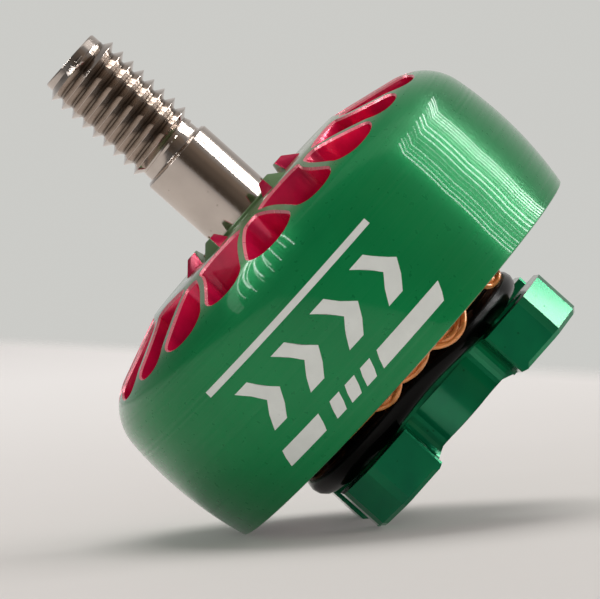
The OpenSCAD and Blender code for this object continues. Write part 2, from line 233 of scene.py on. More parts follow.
def spun(name, outline, steps=160, closed=True):
    """An outline of (radius, height) turned once round the axis."""
    piece = new_ring(name, [(r, 0, z) for r, z in outline]) if closed else new_line(name, outline)
    edit_all(piece)
    bpy.ops.mesh.spin(steps=steps, angle=2 * math.pi, center=(0, 0, 0), axis=(0, 0, 1))
    tidy_mesh(piece)
    return piece


def lofted(name, loops):
    """A closed solid through loops of the same count of points, extruded loop by loop."""
    count = len(loops[0])
    piece = new_ring(name, loops[0], filled=True)
    top = range(count)
    for loop in loops[1:]:
        wanted = set(top)
        edit(piece, "FACE", lambda f: set(f.vertices) == wanted)
        bpy.ops.mesh.extrude_region_move(TRANSFORM_OT_translate={"value": (0, 0, 0)})
        bpy.ops.object.mode_set(mode="OBJECT")
        raised = [v.index for v in piece.data.vertices if v.select]
        before = [piece.data.vertices[i].co.copy() for i in top]
        match = {}
        for i in raised:
            co = piece.data.vertices[i].co
            match[min(range(count), key=lambda k: (before[k] - co).length)] = i
        if len(match) != count:
            raise RuntimeError(name + ": two corners of a loop lie in one place")
        top = [match[k] for k in range(count)]
        for k in range(count):
            piece.data.vertices[top[k]].co = loop[k]
    tidy_mesh(piece)
    return piece


def tube(name, paths, radius, rings=1, closed=False):
    """Round tubes along paths of (place, thickness) points, made a mesh."""
    deselect()
    curve = bpy.data.curves.new(name, "CURVE")
    curve.dimensions = "3D"
    curve.bevel_depth = radius
    curve.bevel_resolution = rings
    curve.use_fill_caps = not closed
    for path in paths:
        line = curve.splines.new("POLY")
        line.points.add(len(path) - 1)
        for point, (place, thick) in zip(line.points, path):
            point.co = (*place, 1)
            point.radius = thick
        line.use_cyclic_u = closed
        line.use_smooth = True
    piece = bpy.data.objects.new(name, curve)
    bpy.context.scene.collection.objects.link(piece)
    only(piece)
    bpy.ops.object.convert(target="MESH")
    piece = bpy.context.active_object
    tidy_mesh(piece)
    return piece


def joined(pieces, name):
    """Several pieces made one object; their shells stay apart."""
    only(pieces[0])
    for piece in pieces:
        piece.select_set(True)
    bpy.ops.object.join()
    result = bpy.context.active_object
    result.name = result.data.name = name
    return result


def copy_turned(piece, name, angle):
    """A copy with its own mesh, turned about the axis."""
    twin = piece.copy()
    twin.data = piece.data.copy()
    twin.name = twin.data.name = name
    bpy.context.scene.collection.objects.link(twin)
    twin.data.transform(Matrix.Rotation(angle, 4, "Z"))
    return twin


def cut_or_join(piece, tool, how):
    """Joins a tool to a piece or cuts it with the tool, which is used up."""
    only(piece)
    step = piece.modifiers.new("join", "BOOLEAN")
    step.operation, step.object, step.solver = how, tool, "EXACT"
    step.material_mode = "TRANSFER"
    bpy.ops.object.modifier_apply(modifier=step.name)
    bpy.data.objects.remove(tool)


def finished(piece, body, nodes=(), smooth=30):
    """Names where the piece rides and what it stands for, and smooths it."""
    only(piece)
    bpy.ops.object.shade_smooth_by_angle(angle=math.radians(smooth))
    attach(piece, body)
    if nodes:
        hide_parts(*nodes)
    deselect()


def dress(piece, *materials):
    piece.data.materials.clear()
    for material in materials:
        piece.data.materials.append(material)


def rounded(piece, width):
    """Live rounding of the sharp edges, this many millimetres wide."""
    edge = piece.modifiers.new("edge", "BEVEL")
    edge.width, edge.segments, edge.limit_method = width * MM, 2, "ANGLE"
    edge.angle_limit = math.radians(28)
    return edge


def polar(radius, angle, height=0.0):
    """A place or direction from its distance from the axis, its angle round it and its height."""
    return Vector((radius * math.cos(angle), radius * math.sin(angle), height))


# ---------- camera and image points ----------

def camera_axes(c):
    """The picture's right and up, the way to the camera, and the level way across its sight."""
    sight = polar(math.cos(c.elevation), c.azimuth, math.sin(c.elevation))
    across = Vector((-math.sin(c.azimuth), math.cos(c.azimuth), 0))
    up = sight.cross(across)
    right = math.cos(c.roll) * across - math.sin(c.roll) * up
    above = math.cos(c.roll) * up + math.sin(c.roll) * across
    return right, above, sight, across


def image_ray(x, y):
    """Where the camera stands, and the way from it through an image point."""
    camera = bpy.context.scene.camera
    data = camera.data
    way = Vector((x - IMAGE_W / 2 + data.shift_x * IMAGE_L, IMAGE_H / 2 - y + data.shift_y * IMAGE_L,
                  -IMAGE_L * data.lens / data.sensor_width))
    return camera.matrix_world.translation, (camera.matrix_world.to_3x3() @ way).normalized()


def place_on(carrier, x, y):
    """Where the ray through an image point meets the carrier, or the place nearest the ray."""
    start, way = image_ray(x, y)
    hit = carrier.ray_cast(start, way)
    if hit[0] is not None:
        return hit[0]
    middle = start + way * bpy.context.scene.motor_camera.distance
    for _ in range(8):
        near = carrier.find_nearest(middle)[0]
        middle = start + way * (near - start).dot(way)
    return near


def carrier_of(name):
    """The surface of a CAD node, for rays to meet."""
    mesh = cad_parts[name].data
    faces = [list(f.vertices) for f in mesh.polygons]
    return BVHTree.FromPolygons([v.co.copy() for v in mesh.vertices], faces)


def seen_at(place):
    """The image point of a place."""
    camera = bpy.context.scene.camera
    p = camera.matrix_world.inverted() @ Vector(place)
    k = IMAGE_L * camera.data.lens / camera.data.sensor_width / -p.z
    return (p.x * k + IMAGE_W / 2 - camera.data.shift_x * IMAGE_L,
            IMAGE_H / 2 - p.y * k + camera.data.shift_y * IMAGE_L)


class MOTOR_OT_camera(bpy.types.Operator):
    """Sets the camera at the photograph's angle"""
    bl_idname = "motor.camera"
    bl_label = "Camera"

    def execute(self, context):
        c = context.scene.motor_camera
        right, above, sight, across = camera_axes(c)
        deselect()
        bpy.ops.object.camera_add()
        camera = context.active_object
        camera.name = "camera"
        data = camera.data
        data.sensor_fit, data.dof.use_dof = "AUTO", False
        data.lens = c.scale / MM * c.distance / IMAGE_L * data.sensor_width
        data.clip_start, data.clip_end = 0.01, 50
        place = Matrix((right, above, sight)).transposed().to_4x4()
        place.translation = across * c.aim_across + Vector((0, 0, c.aim_up)) + sight * c.distance
        camera.matrix_world = place
        context.scene.camera = camera
        context.scene.view_settings.view_transform = "Standard"
        context.view_layer.update()
        return {"FINISHED"}


# ---------- finishes ----------

class Nodes:
    """A node tree, with short calls for the nodes that the finishes share."""

    def __init__(self, tree):
        self.tree = tree

    def feed(self, socket, value):
        """Sets a socket, or links it where another socket is given."""
        if isinstance(value, bpy.types.NodeSocket):
            self.tree.links.new(value, socket)
        else:
            socket.default_value = value

    def put(self, kind, settings=None, **inputs):
        """A node with its inputs; i0, i1 and so on name an input by its place."""
        node = self.tree.nodes.new(kind)
        for key, value in (settings or {}).items():
            setattr(node, key, value)
        for key, value in inputs.items():
            self.feed(node.inputs[int(key[1:]) if key[1:].isdigit() else key.replace("_", " ")], value)
        return node

    def group(self, name, **inputs):
        return self.put("ShaderNodeGroup", {"node_tree": bpy.data.node_groups[name]}, **inputs).outputs

    def math(self, how, a, b=0.0):
        return self.put("ShaderNodeMath", {"operation": how}, i0=a, i1=b).outputs[0]

    def vector(self, how, **inputs):
        return self.put("ShaderNodeVectorMath", {"operation": how}, **inputs).outputs

    def dot(self, place, way):
        return self.vector("DOT_PRODUCT", i0=place, i1=way)["Value"]

    def radius(self, place):
        """Distance from the axis."""
        flat = self.vector("MULTIPLY", i0=place, i1=(1, 1, 0))["Vector"]
        return self.vector("LENGTH", i0=flat)["Value"]

    def parts(self, place):
        return self.put("ShaderNodeSeparateXYZ", Vector=place).outputs

    def noise(self, **inputs):
        """Noise in space, or along a line where W is given."""
        return self.put(
            "ShaderNodeTexNoise", {"noise_dimensions": "1D" if "W" in inputs else "3D"}, **inputs).outputs[0]

    def ranged(self, value, low, high, start=0.3, end=0.7):
        """A value's span from start to end, spread from low to high."""
        return self.put("ShaderNodeMapRange", i0=value, i1=start, i2=end, i3=low, i4=high).outputs[0]

    def blended(self, amount, a, b):
        """A mix of two colours, each a socket or three numbers."""
        node = self.put("ShaderNodeMix", {"data_type": "RGBA"}, i0=amount)
        for socket, value in ((node.inputs[6], a), (node.inputs[7], b)):
            self.feed(socket, value if isinstance(value, bpy.types.NodeSocket) else (*value, 1.0))
        return node.outputs[2]


class Finish(Nodes):
    """A material on object coordinates, with its Principled shader, cloudy wear and small specks."""

    def __init__(self, name, cloud, specks, **fixed):
        self.material = bpy.data.materials.new("finish_" + name)
        self.material.use_nodes = True
        super().__init__(self.material.node_tree)
        self.skin = self.tree.nodes["Principled BSDF"]
        self.give(**fixed)
        self.place = self.put("ShaderNodeTexCoord").outputs["Object"]
        self.wear = self.group("wear", Vector=self.place, Cloud=cloud, Specks=specks)

    def give(self, **inputs):
        """Sets or links inputs of the shader."""
        for key, value in inputs.items():
            self.feed(self.skin.inputs[key.replace("_", " ")], value)

    def clouded(self, dark, light):
        return self.blended(self.ranged(self.wear["Tone"], 0.0, 1.0), dark, light)

    def coloured(self, tone, speck):
        """The tone as the base colour, with specks of another."""
        self.give(Base_Color=self.blended(self.wear["Speck"], tone, speck))

    def bumped(self, height, strength, depth):
        bump = self.put("ShaderNodeBump", Strength=strength, Distance=depth, Height=height)
        self.give(Normal=bump.outputs[0])

    def worn(self, dark, light, speck, rough, bump):
        """Colour, roughness and bump that all follow the wear."""
        self.coloured(self.clouded(dark, light), speck)
        self.give(Roughness=self.ranged(self.wear["Tone"], *rough))
        self.bumped(self.wear["Tone"], *bump)

    def lathe_lines(self, rings, waver):
        """Lines round the axis, with the reflections drawn out across them."""
        self.give(Tangent=self.put("ShaderNodeTangent", {"direction_type": "RADIAL", "axis": "Z"}).outputs[0])
        return self.group("tool_lines", Vector=self.place, Rings=rings, Waver=waver)


def new_group(name, inputs, outputs):
    """A node group: its nodes, what it is given and what it gives."""
    tree = bpy.data.node_groups.new(name, "ShaderNodeTree")
    tree.interface.new_socket(name="Vector", in_out="INPUT", socket_type="NodeSocketVector")
    for label, value in inputs.items():
        socket = tree.interface.new_socket(name=label, in_out="INPUT", socket_type="NodeSocketFloat")
        socket.default_value = value
    for label in outputs:
        tree.interface.new_socket(name=label, in_out="OUTPUT", socket_type="NodeSocketFloat")
    return Nodes(tree), tree.nodes.new("NodeGroupInput").outputs, tree.nodes.new("NodeGroupOutput").inputs


def make_tool_lines():
    """Fine rings that a lathe leaves: they follow the height on a side and the radius on a face."""
    nodes, given, result = new_group("tool_lines", {"Rings": 9000.0, "Waver": 0.5}, ("Height", "Fine"))
    inwards = nodes.math("MULTIPLY", nodes.radius(given["Vector"]), -0.7)
    along = nodes.math("ADD", nodes.parts(given["Vector"])["Z"], inwards)
    rings = nodes.noise(W=nodes.math("MULTIPLY", along, given["Rings"]), Scale=1.0, Detail=3.0, Roughness=0.7)
    grain = nodes.noise(Vector=given["Vector"], Scale=2600.0, Detail=2.0)
    nodes.feed(result["Height"], nodes.math("ADD", rings, nodes.math("MULTIPLY", grain, given["Waver"])))
    nodes.feed(result["Fine"], grain)


def make_wear():
    """Cloudy tone, and small specks that gather in patches."""
    nodes, given, result = new_group("wear", {"Cloud": 180.0, "Specks": 0.5}, ("Tone", "Speck"))
    cells = nodes.put("ShaderNodeTexVoronoi", Vector=given["Vector"], Scale=2400.0).outputs["Distance"]
    patch = nodes.noise(Vector=given["Vector"], Scale=900.0, Detail=1.0)
    small, chosen = nodes.math("LESS_THAN", cells, 0.16), nodes.math("GREATER_THAN", patch, 0.6)
    specks = nodes.math("MULTIPLY", small, chosen)
    nodes.feed(result["Tone"], nodes.noise(Vector=given["Vector"], Scale=given["Cloud"], Detail=4.0))
    nodes.feed(result["Speck"], nodes.math("MULTIPLY", specks, given["Specks"]))


def finish(name):
    return bpy.data.materials["finish_" + name]


def scaled(rgb, *factors):
    """A colour times one factor, or times one for each channel."""
    return [c * k for c, k in zip(rgb, factors if len(factors) == 3 else factors * 3)]


def turned_green(rgb):
    """The bell: clear coat that comes and goes with the lathe's lines, and browner towards the face, a
    painted reflection of the pale wall that the face shows edge-on.
    """
    look = Finish("green_turned", 90.0, 0.0, Metallic=0.3, Anisotropic=0.8, Anisotropic_Rotation=0.25,
                  Coat_Roughness=0.04, Coat_IOR=1.5, Specular_IOR_Level=0.1)
    lines = look.lathe_lines(5200.0, 0.15)
    tone = look.clouded(scaled(rgb, 0.88), scaled(rgb, 1.12))
    tone = look.blended(look.ranged(lines["Height"], 0.0, 0.12, 0.4, 1.0), tone, (0.05, 0.36, 0.15))
    # Painted reflection: the face and its lands are tinted tan-grey above 15.7 mm, for the wall mirrored at a
    # grazing angle.
    face = look.ranged(look.parts(look.place)["Z"], 0.0, 0.42, 0.0157, 0.0167)
    look.give(Base_Color=look.blended(face, tone, (0.3, 0.22, 0.14)),
              Coat_Weight=look.ranged(lines["Height"], 0.45, 0.75, 0.4, 0.75),
              Roughness=look.ranged(lines["Fine"], 0.27, 0.34))


def milled_green(rgb):
    """The base: glossier, with the upright lines that a cutter leaves where it turns."""
    look = Finish("green_milled", 260.0, 1.0, Metallic=0.6, Coat_Roughness=0.05, Coat_IOR=1.5,
                  Specular_IOR_Level=0.3)
    parts = look.parts(look.place)
    height = look.math("ADD", *(
        look.noise(W=look.math("MULTIPLY", parts[axis], 800.0), Scale=1.0, Detail=1.0) for axis in "XY"))
    tone = look.clouded(scaled(rgb, 0.75, 0.62, 0.8), rgb)
    tone = look.blended(look.ranged(height, 0.6, 0.0, 0.66, 0.78), tone, scaled(rgb, 0.25))
    look.coloured(tone, scaled(rgb, 0.5))
    look.give(Coat_Weight=look.ranged(look.wear["Speck"], 0.5, 0.1, 0.0, 1.0),
              Roughness=look.ranged(look.wear["Tone"], 0.12, 0.26))
    look.bumped(look.math("ADD", height, look.math("MULTIPLY", look.wear["Speck"], -1.5)), 0.3, 0.00001)


def cut_red(name, rgb, light, rough):
    """Red faces of the vents, with the feed marks of the cutter; light mixes in a pale pink, a painted
    highlight for the vents' bevelled edges.
    """
    look = Finish(name, 420.0, 0.2, Metallic=0.35, Coat_Weight=0.42, Coat_Roughness=0.04, Coat_IOR=1.6)
    drawn = look.put("ShaderNodeMapping", Vector=look.place, Scale=(1500, 1500, 90)).outputs[0]
    feed = look.noise(Vector=drawn, Scale=1.0, Detail=2.0)
    tone = look.clouded(scaled(rgb, 0.5), rgb)
    # Pale pink mixed in by light: a painted highlight on the edges.
    look.give(Base_Color=look.blended(light, tone, (0.95, 0.36, 0.4)),
              Roughness=look.ranged(feed, rough, rough + 0.14))
    look.bumped(feed, 0.25, 0.00002)


def ground_steel(name, rgb, rough, painted_root_shade=None):
    """Ground or turned steel; where they are given, painted shade darkens it inside a radius and between two
    heights, in the thread's roots.
    """
    look = Finish(name, 380.0, 0.35, Metallic=1.0, Anisotropic=0.6, Anisotropic_Rotation=0.25)
    lines = look.lathe_lines(15000.0, 0.5)
    tone = look.clouded(scaled(rgb, 0.85), rgb)
    if painted_root_shade:
        inner, outer, low, high = painted_root_shade
        height = look.parts(look.place)["Z"]
        within = look.math("MULTIPLY", look.ranged(height, 0.0, 1.0, low, low + 0.2 * MM),
                           look.ranged(height, 1.0, 0.0, high, high + 0.2 * MM))
        # Painted shade: the thread's roots are darkened near the axis, between the two heights.
        root_shade_amount = look.math("MULTIPLY", look.ranged(look.radius(look.place), 1.0, 0.0, inner, outer), within)
        tone = look.blended(root_shade_amount, tone, scaled(rgb, 0.34, 0.31, 0.28))
    look.coloured(tone, scaled(rgb, 0.35))
    look.give(Roughness=look.ranged(lines["Fine"], rough, rough + 0.07))
    look.bumped(lines["Height"], 0.12, 0.000005)


def enamel_copper(rgb):
    look = Finish("enamelled_copper", 700.0, 0.3, Metallic=0.35, Coat_Weight=1.0, Coat_Roughness=0.06,
                  Coat_IOR=1.55)
    look.worn(scaled(rgb, 0.62), rgb, (0.25, 0.05, 0.02), (0.18, 0.34), (0.2, 0.00005))


def black_finish(name, value, rough, coat, cloud=500.0):
    look = Finish(name, cloud, 0.25, Coat_Weight=coat, Coat_Roughness=0.05, Coat_IOR=1.5,
                  Specular_IOR_Level=0.1)
    look.worn([0.5 * value] * 3, [value] * 3, [3 * value] * 3, (rough, rough + 0.15), (0.35, 0.00003))


def etched_finish(rgb):
    look = Finish("etched_mark", 900.0, 0.2, Specular_IOR_Level=0.35)
    look.worn(scaled(rgb, 0.93), rgb, scaled(rgb, 0.7), (0.6, 0.8), (0.3, 0.00001))


# The plain steels: colour and least roughness.
STEELS = {
    "bearing_steel": ((0.7, 0.7, 0.72), 0.1), "shield_steel": ((0.45, 0.46, 0.48), 0.3),
    "cage_brass": ((0.5, 0.36, 0.14), 0.25), "flux_steel": ((0.12, 0.12, 0.13), 0.35),
    "magnet_plate": ((0.45, 0.45, 0.48), 0.2), "shim_steel": ((0.6, 0.6, 0.6), 0.25),
    "screw_black": ((0.04, 0.04, 0.045), 0.3),
}
BEARING_PARTS = {
    "outer_ring": "bearing_steel", "inner_ring": "bearing_steel", "balls": "bearing_steel",
    "cage": "cage_brass", "shields": "shield_steel",
}
# The finish of each CAD node that keeps its own mesh.
CARRIED_OVER = {
    "stator_core": "lamination_coat", "sleeve_b": "black_sleeve", "sleeve_c": "black_sleeve",
    "flux_ring": "flux_steel", "magnets": "magnet_plate", "bell_shim": "shim_steel",
    "retaining_washer": "shim_steel", "retaining_screw": "screw_black",
    **{side + part: look for side in ("upper_", "lower_") for part, look in BEARING_PARTS.items()},
}
# Width of the rounding, in millimetres, of the nodes whose edges are broken.
BROKEN_EDGES = {
    "sleeve_b": 0.12, "sleeve_c": 0.12, "stator_core": 0.05, "magnets": 0.08, "retaining_screw": 0.08,
    "retaining_washer": 0.04, "upper_outer_ring": 0.1, "lower_outer_ring": 0.1,
}


class MOTOR_OT_finishes(bpy.types.Operator):
    """Makes the materials and gives each carried-over node its own"""
    bl_idname = "motor.finishes"
    bl_label = "Finishes"

    def execute(self, context):
        f = context.scene.motor_finish
        make_tool_lines()
        make_wear()
        turned_green(f.green)
        milled_green(scaled(f.green, 1, 1.15, 1.5))
        cut_red("red_cut", f.red, 0.0, 0.12)
        # The vents' bevels: red with half pale pink, a painted highlight along the edges.
        cut_red("red_edge_highlight", f.red, 0.5, 0.2)
        enamel_copper(f.copper)
        etched_finish(f.etched)
        black_finish("black_sleeve", 0.001, 0.12, 0.06)
        black_finish("lamination_coat", 0.012, 0.45, 0.2, 1200.0)
        # The shaft's thread roots get painted shade: darker from 2.14 mm in to 1.98 mm, from 23.7 to 30.3 mm
        # up.
        ground_steel("shaft_steel", f.steel, 0.08, (1.98 * MM, 2.14 * MM, 23.7 * MM, 30.3 * MM))
        for name, (rgb, rough) in STEELS.items():
            ground_steel(name, rgb, rough)
        for name, look in CARRIED_OVER.items():
            dress(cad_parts[name], finish(look))
        for name, width in BROKEN_EDGES.items():
            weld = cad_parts[name].modifiers.new("weld", "WELD")
            weld.merge_threshold = 1e-6
            rounded(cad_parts[name], width)
        return {"FINISHED"}


# ---------- base ----------

class MOTOR_OT_base(bpy.types.Operator):
    """Slopes the feet of the milled base and breaks its edges"""
    bl_idname = "motor.base"
    bl_label = "Base"

    def execute(self, context):
        b = context.scene.motor_base
        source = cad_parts["base"]
        base = source.copy()
        base.data = source.data.copy()
        base.name = base.data.name = "milled_base"
        context.scene.collection.objects.link(base)
        tidy_mesh(base, 1e-6)
        corner = b.notch - b.fillet

        def notch_floor(x):
            """How far from the axis a notch's floor lies, with its round corner."""
            return b.floor + b.fillet - math.sqrt(b.fillet ** 2 - max(0.0, x - corner) ** 2) - 0.004 * MM

        def slope(x):
            """Height of a foot's slope."""
            return max(0.0, b.foot * (b.slope_end - x) / (b.slope_end - b.slope_start))

        def upright(x, near, far, low, high):
            return [(x, near, low), (x, far, low), (x, far, high), (x, near, high)]

        filled, cut = [], []
        stations = [b.slope_start + (b.notch - b.slope_start - 0.01 * MM) * i / 6 for i in range(7)]
        fill_loops = [upright(x, 3.45 * MM, notch_floor(x), slope(x), b.foot + 0.05 * MM) for x in stations]
        begin = b.notch - 0.12 * MM
        cut_loops = [upright(x, 3.9 * MM, 9 * MM, -0.2 * MM, z)
                     for x, z in ((begin, slope(begin)), (b.slope_end, 0.0005 * MM))]
        for loops, made in ((fill_loops, filled), (cut_loops, cut)):
            for way in (1, -1):
                wedge = lofted("wedge", [[Vector((way * x, y, z)) for x, y, z in loop] for loop in loops])
                made += [copy_turned(wedge, "wedge", math.radians(90 * i)) for i in range(4)]
                bpy.data.objects.remove(wedge)
        cut_or_join(base, joined(filled, "foot_slopes"), "UNION")
        cut_or_join(base, joined(cut, "foot_cuts"), "DIFFERENCE")
        edit(base, "FACE", lambda face: True)
        bpy.ops.mesh.dissolve_limited(angle_limit=math.radians(0.5))

        def round_a_sole(place):
            far = max(abs(place.x), abs(place.y)) > 6.3 * MM and place.xy.length > 8.9 * MM
            return far and place.z < 0.002 * MM

        edit(base, "EDGE", lambda e: all(round_a_sole(base.data.vertices[i].co) for i in e.vertices))
        bpy.ops.mesh.bevel(offset=b.lower_edge, segments=1, affect="EDGES")
        deselect()
        dress(base, finish("green_milled"))
        rounded(base, 0.06)
        finished(base, "stator", ("base",), 15)
        return {"FINISHED"}


# ---------- bell ----------

# The barrel that the marks and streaks are laid out on, in millimetres: widest radius, its height, its bow.
WIDEST, WIDEST_UP, BOW = 14.3, 9.6, 15.6
# The angle from one spoke to the next.
SPOKE = math.pi / 5


def arc(centre, radius, start, end, count):
    """Points along an arc, both ends included."""
    return [(centre[0] + radius * math.cos(start + (end - start) * i / count),
             centre[1] + radius * math.sin(start + (end - start) * i / count)) for i in range(count + 1)]


class BellShape:
    """The bell's outline, worked out as for its solid."""

    def __init__(self, s):
        self.s = s
        self.tooth = 0.7 * MM
        self.face = BELL_HIGH[2] - self.tooth
        self.plate = self.face - 2.35 * MM
        self.rim = BELL_LOW[2]
        self.collar_top = self.face + 0.22 * MM
        self.seat_top = self.collar_top + 5.1 * MM
        self.bow = (s.bulge ** 2 + s.widest_up ** 2) / (2 * s.bulge)
        self.side = (s.widest - self.bow, self.rim + s.widest_up)
        # The shoulder's centre lies one radius inside both the sloped face and the bowed side.
        m = math.tan(s.slope)
        d = self.face + s.flat * m - s.shoulder / math.cos(s.slope) - self.side[1]
        b = self.side[0] + d * m
        q = self.side[0] ** 2 + d ** 2 - (self.bow - s.shoulder) ** 2
        x = (b + math.sqrt(b * b - (1 + m * m) * q)) / (1 + m * m)
        self.round = (x, self.side[1] + d - x * m)
        self.meet = math.atan2(self.round[1] - self.side[1], self.round[0] - self.side[0])

    def side_radius(self, z):
        return self.side[0] + math.sqrt(self.bow ** 2 - (z - self.side[1]) ** 2)

    def top(self, r):
        """Height of the face and shoulder at a radius."""
        s = self.s
        if r <= s.flat:
            return self.face
        touch = self.round[0] + s.shoulder * math.sin(s.slope)
        if r <= touch:
            return self.face - (r - s.flat) * math.tan(s.slope)
        return self.round[1] + math.sqrt(max(0.0, s.shoulder ** 2 - (r - self.round[0]) ** 2))

    def outline(self):
        """The section that is turned to make the bell, without its teeth."""
        s = self.s
        start = math.asin((self.rim + 0.14 * MM - self.side[1]) / self.bow)
        side = arc(self.side, self.bow, start, self.meet, 16)
        shoulder = arc(self.round, s.shoulder, self.meet, math.pi / 2 - s.slope, 14)
        mm = [(2.15, self.plate / MM), (3.0, self.plate / MM), (3.0, self.plate / MM + 0.1),
              (12.3, self.plate / MM + 0.1), (12.3, FLUX_HIGH[2] / MM), (13.0, FLUX_HIGH[2] / MM),
              (13.0, self.rim / MM + 0.12), (13.12, self.rim / MM)]
        inner = [(r * MM, z * MM) for r, z in mm]
        rim = [(side[0][0] - 0.12 * MM, self.rim), (side[0][0] - 0.03 * MM, self.rim + 0.05 * MM)]
        cone = [(s.flat + 0.9 * MM, self.top(s.flat + 0.9 * MM)), (s.flat, self.face)]
        hub = [(3.34, 0), (3.3, 0.04), (3.3, 0.18), (3.26, 0.22), (2.15, 0.22)]
        return inner + rim + side + shoulder[1:] + cone + [(r * MM, self.face + z * MM) for r, z in hub]


def branch_side(r):
    """How far the middle of a spoke's branch lies from the spoke's own middle, in millimetres."""
    return 1.0 * (1 - math.exp((7.7 - r) / 0.9)) + 0.24 * (r - 7.7)


def softly(points, rounds=2):
    """Cuts the corners of a closed outline until they are round."""
    for _ in range(rounds):
        points = [p for a, b in zip(points, points[1:] + points[:1])
                  for p in (a * 0.75 + b * 0.25, a * 0.25 + b * 0.75)]
    return points


def vent_outline(inner, end, edge, reach):
    """An opening about +X from an inner radius to its end, mirrored across its middle, in millimetres."""
    steps = 7
    upper = []
    for i in range(steps + 1):
        r = inner + (end - 0.25 - inner) * (i / steps) ** 1.3
        half = edge(r)
        upper.append(Vector((math.sqrt(r * r - half * half), half, 0)))
    upper.append(Vector((end + reach * 0.7, edge(end) * 0.45, 0)))
    lower = [Vector((p.x, -p.y, 0)) for p in reversed(upper)]
    return [p * MM for p in softly(upper + lower)][::-1]


def vent_tool(name, outline, shape, edge):
    """The solid that cuts one opening: an upright wall and a bevel along the surface."""
    count = len(outline)
    out, over = [], 0.05 * MM
    for i, p in enumerate(outline):
        way = outline[(i + 1) % count] - outline[i - 1]
        out.append(Vector((-way.y, way.x, 0)).normalized())
    centre = sum(outline, Vector()) / count
    if sum((p - centre).dot(n) for p, n in zip(outline, out)) < 0:
        out = [-n for n in out]
    wide = [p + n * (edge + over) for p, n in zip(outline, out)]
    loops = [
        [Vector((p.x, p.y, shape.plate)) for p in outline],
        [Vector((p.x, p.y, shape.top(p.length) - edge)) for p in outline],
        [Vector((p.x, p.y, shape.top(p.length) + over)) for p in wide],
        [Vector((p.x, p.y, shape.face + 1.5 * MM)) for p in wide],
    ]
    tool = lofted(name, loops)
    dress(tool, finish("red_cut"), finish("red_edge_highlight"))
    # Sloped faces take the red edge finish, with its painted highlight.
    for face in tool.data.polygons:
        face.material_index = int(0.25 < abs(face.normal.z) < 0.95)
    return tool


def hub_tooth(shape):
    """One tooth about +X: wide in the face and narrow on top, with red slopes."""
    loops = []
    for up, half, far in ((-0.3 * MM, 0.75, 4.9), (0, 0.75, 4.9), (shape.tooth, 0.25, 4.2)):
        corners = ((3.55, -half), (far, -half), (far, half), (3.55, half))
        loops.append([Vector((r * MM, w * MM, shape.face + up)) for r, w in corners])
    tooth = lofted("hub_tooth", loops)
    dress(tooth, finish("green_turned"), finish("red_cut"))
    for face in tooth.data.polygons:
        face.material_index = int(abs(face.normal.y) > 0.5)
    only(tooth)
    bpy.ops.object.modifier_apply(modifier=rounded(tooth, 0.05).name)
    return tooth


class MOTOR_OT_bell(bpy.types.Operator):
    """Turns the bell, cuts its vents and raises the teeth round the shaft"""
    bl_idname = "motor.bell"
    bl_label = "Bell"

    def execute(self, context):
        s = context.scene.motor_bell
        shape = BellShape(s)
        bell = spun("bell_shell", shape.outline())
        dress(bell, finish("green_turned"))
        half_branch = s.branch / MM / 2
        end = (s.vent_end - s.edge) / MM - 0.2
        # Openings within a spoke's fork, and between one spoke and the next.
        fork = vent_outline(8.45, end, lambda r: branch_side(r) - half_branch, 0.25)
        gap = vent_outline(8.1, end, lambda r: r * math.tan(SPOKE / 2) - (
            branch_side(r) + half_branch) / math.cos(SPOKE / 2), 0.12)
        kinds = (vent_tool("fork_vent", fork, shape, s.edge), vent_tool("gap_vent", gap, shape, s.edge))
        first = s.turned - math.pi / 2
        tools = []
        for i in range(10):
            tools += [copy_turned(kind, "vent", first + (i + offset) * SPOKE)
                      for kind, offset in zip(kinds, (0.0, 0.5))]
        for kind in kinds:
            bpy.data.objects.remove(kind)
        cut_or_join(bell, joined(tools, "vents"), "DIFFERENCE")
        tooth = hub_tooth(shape)
        teeth = [copy_turned(tooth, "tooth", first + math.radians(36 + 72 * i)) for i in range(5)]
        bpy.data.objects.remove(tooth)
        cut_or_join(bell, joined(teeth, "teeth"), "UNION")
        finished(bell, "rotor", ("bell",), 24)
        return {"FINISHED"}


# ---------- etched marks ----------

def mark_shapes():
    """Plain bars and chevrons, in millimetres round the side and up it."""
    shapes = [[(-9.6, 12.45), (4.4, 12.45), (4.4, 12.85), (-9.6, 12.85)]]
    for i in range(4):
        chevron = ((0, 8.6), (1.15, 8.6), (2.35, 10.1), (1.15, 11.6), (0, 11.6), (1.2, 10.1))
        shapes.append([(-8.3 + 3.3 * i + x, z) for x, z in chevron])
    lows = [(-9.6, -6.2)] + [(-5.2 + 1.3 * i, -4.4 + 1.3 * i) for i in range(3)]
    shapes += [[(start, 6.5), (end, 6.5), (end + 0.5, 7.5), (start + 0.5, 7.5)] for start, end in lows]
    shapes.append([(-1.2, 6.5), (4.0, 6.5), (4.6, 7.5), (-0.7, 7.5)])
    return shapes


class MOTOR_OT_marks(bpy.types.Operator):
    """Lays the etched marks on the bell's side"""
    bl_idname = "motor.marks"
    bl_label = "Marks"

    def execute(self, context):
        shape = BellShape(context.scene.motor_bell)
        skin, depth = 0.008 * MM, 0.05 * MM
        low, high = 5.9 * MM, 13.5 * MM
        levels = [low + (high - low) * i / 10 for i in range(11)]
        outside = [(shape.side_radius(z) + skin, z) for z in levels]
        inside = [(shape.side_radius(z) - depth, z) for z in reversed(levels)]
        sheet = spun("mark_sheet", outside + inside, 200)
        front = context.scene.motor_camera.azimuth
        stamps = []
        for points in mark_shapes():
            loops = [[polar(reach * MM, front + x / WIDEST, z * MM) for x, z in points] for reach in (12, 17)]
            stamps.append(lofted("stamp", loops))
        cut_or_join(sheet, joined(stamps, "stamps"), "INTERSECT")
        sheet.name = sheet.data.name = "etched_marks"
        dress(sheet, finish("etched_mark"))
        finished(sheet, "rotor")
        return {"FINISHED"}


# ---------- shaft ----------

# The side on which the height of the first crest is measured: the right of the axis in the picture.
CREST_SIDE = math.radians(-3.3)


